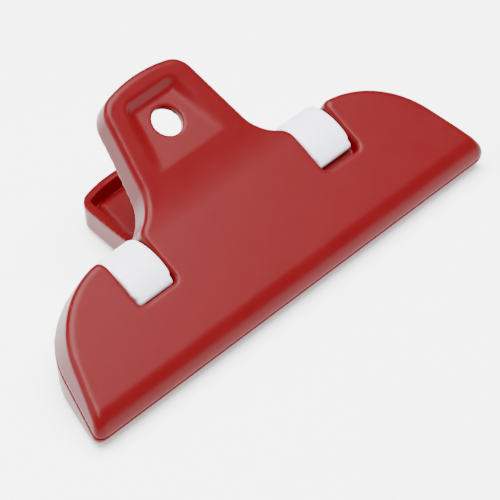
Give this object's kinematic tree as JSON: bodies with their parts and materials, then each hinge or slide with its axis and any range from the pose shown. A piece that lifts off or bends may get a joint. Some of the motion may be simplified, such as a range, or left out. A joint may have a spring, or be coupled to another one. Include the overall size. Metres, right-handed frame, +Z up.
{
  "type": "bag clip",
  "caption": "Wide moulded plastic bag clip: two hinged jaws with finger handles, held shut by C-shaped springs; squeeze the handles to open the lips.",
  "frame": {"origin": "under the middle of the clip as it lies on its back, on the surface that it rests on", "axes": "+Z up out of the surface, +X along the jaws, +Y from the lips towards the handles"},
  "size_m": [0.1082, 0.0545, 0.038],
  "materials": {
    "jaw_plastic": "satin moulded red plastic",
    "spring_plastic": "natural white acetal, slightly translucent"
  },
  "bodies": {
    "rear_jaw": {"rear_jaw": "jaw_plastic"},
    "front_jaw": {"front_jaw": "jaw_plastic"},
    "springs": {"left_spring": "spring_plastic", "right_spring": "spring_plastic"}
  },
  "joints": [
    {"name": "jaw_hinge", "type": "hinge", "parent": "rear_jaw", "child": "front_jaw", "pos_m": [0, -0.00495, 0.01032], "axis": [-1, 0, 0], "range_deg": [0, 50], "stiffness_Nm_per_rad": 0.15, "springref_deg": -68.75, "deforming": ["left_spring", "right_spring"]},
    {"name": "spring_flex", "type": "hinge", "parent": "rear_jaw", "child": "springs", "pos_m": [0, -0.00495, 0.01032], "axis": [-1, 0, 0], "range_deg": [0, 25], "deforming": ["left_spring", "right_spring"]}
  ],
  "couplings": [
    {"joint": "spring_flex", "follows": "jaw_hinge", "ratio": 0.5}
  ]
}
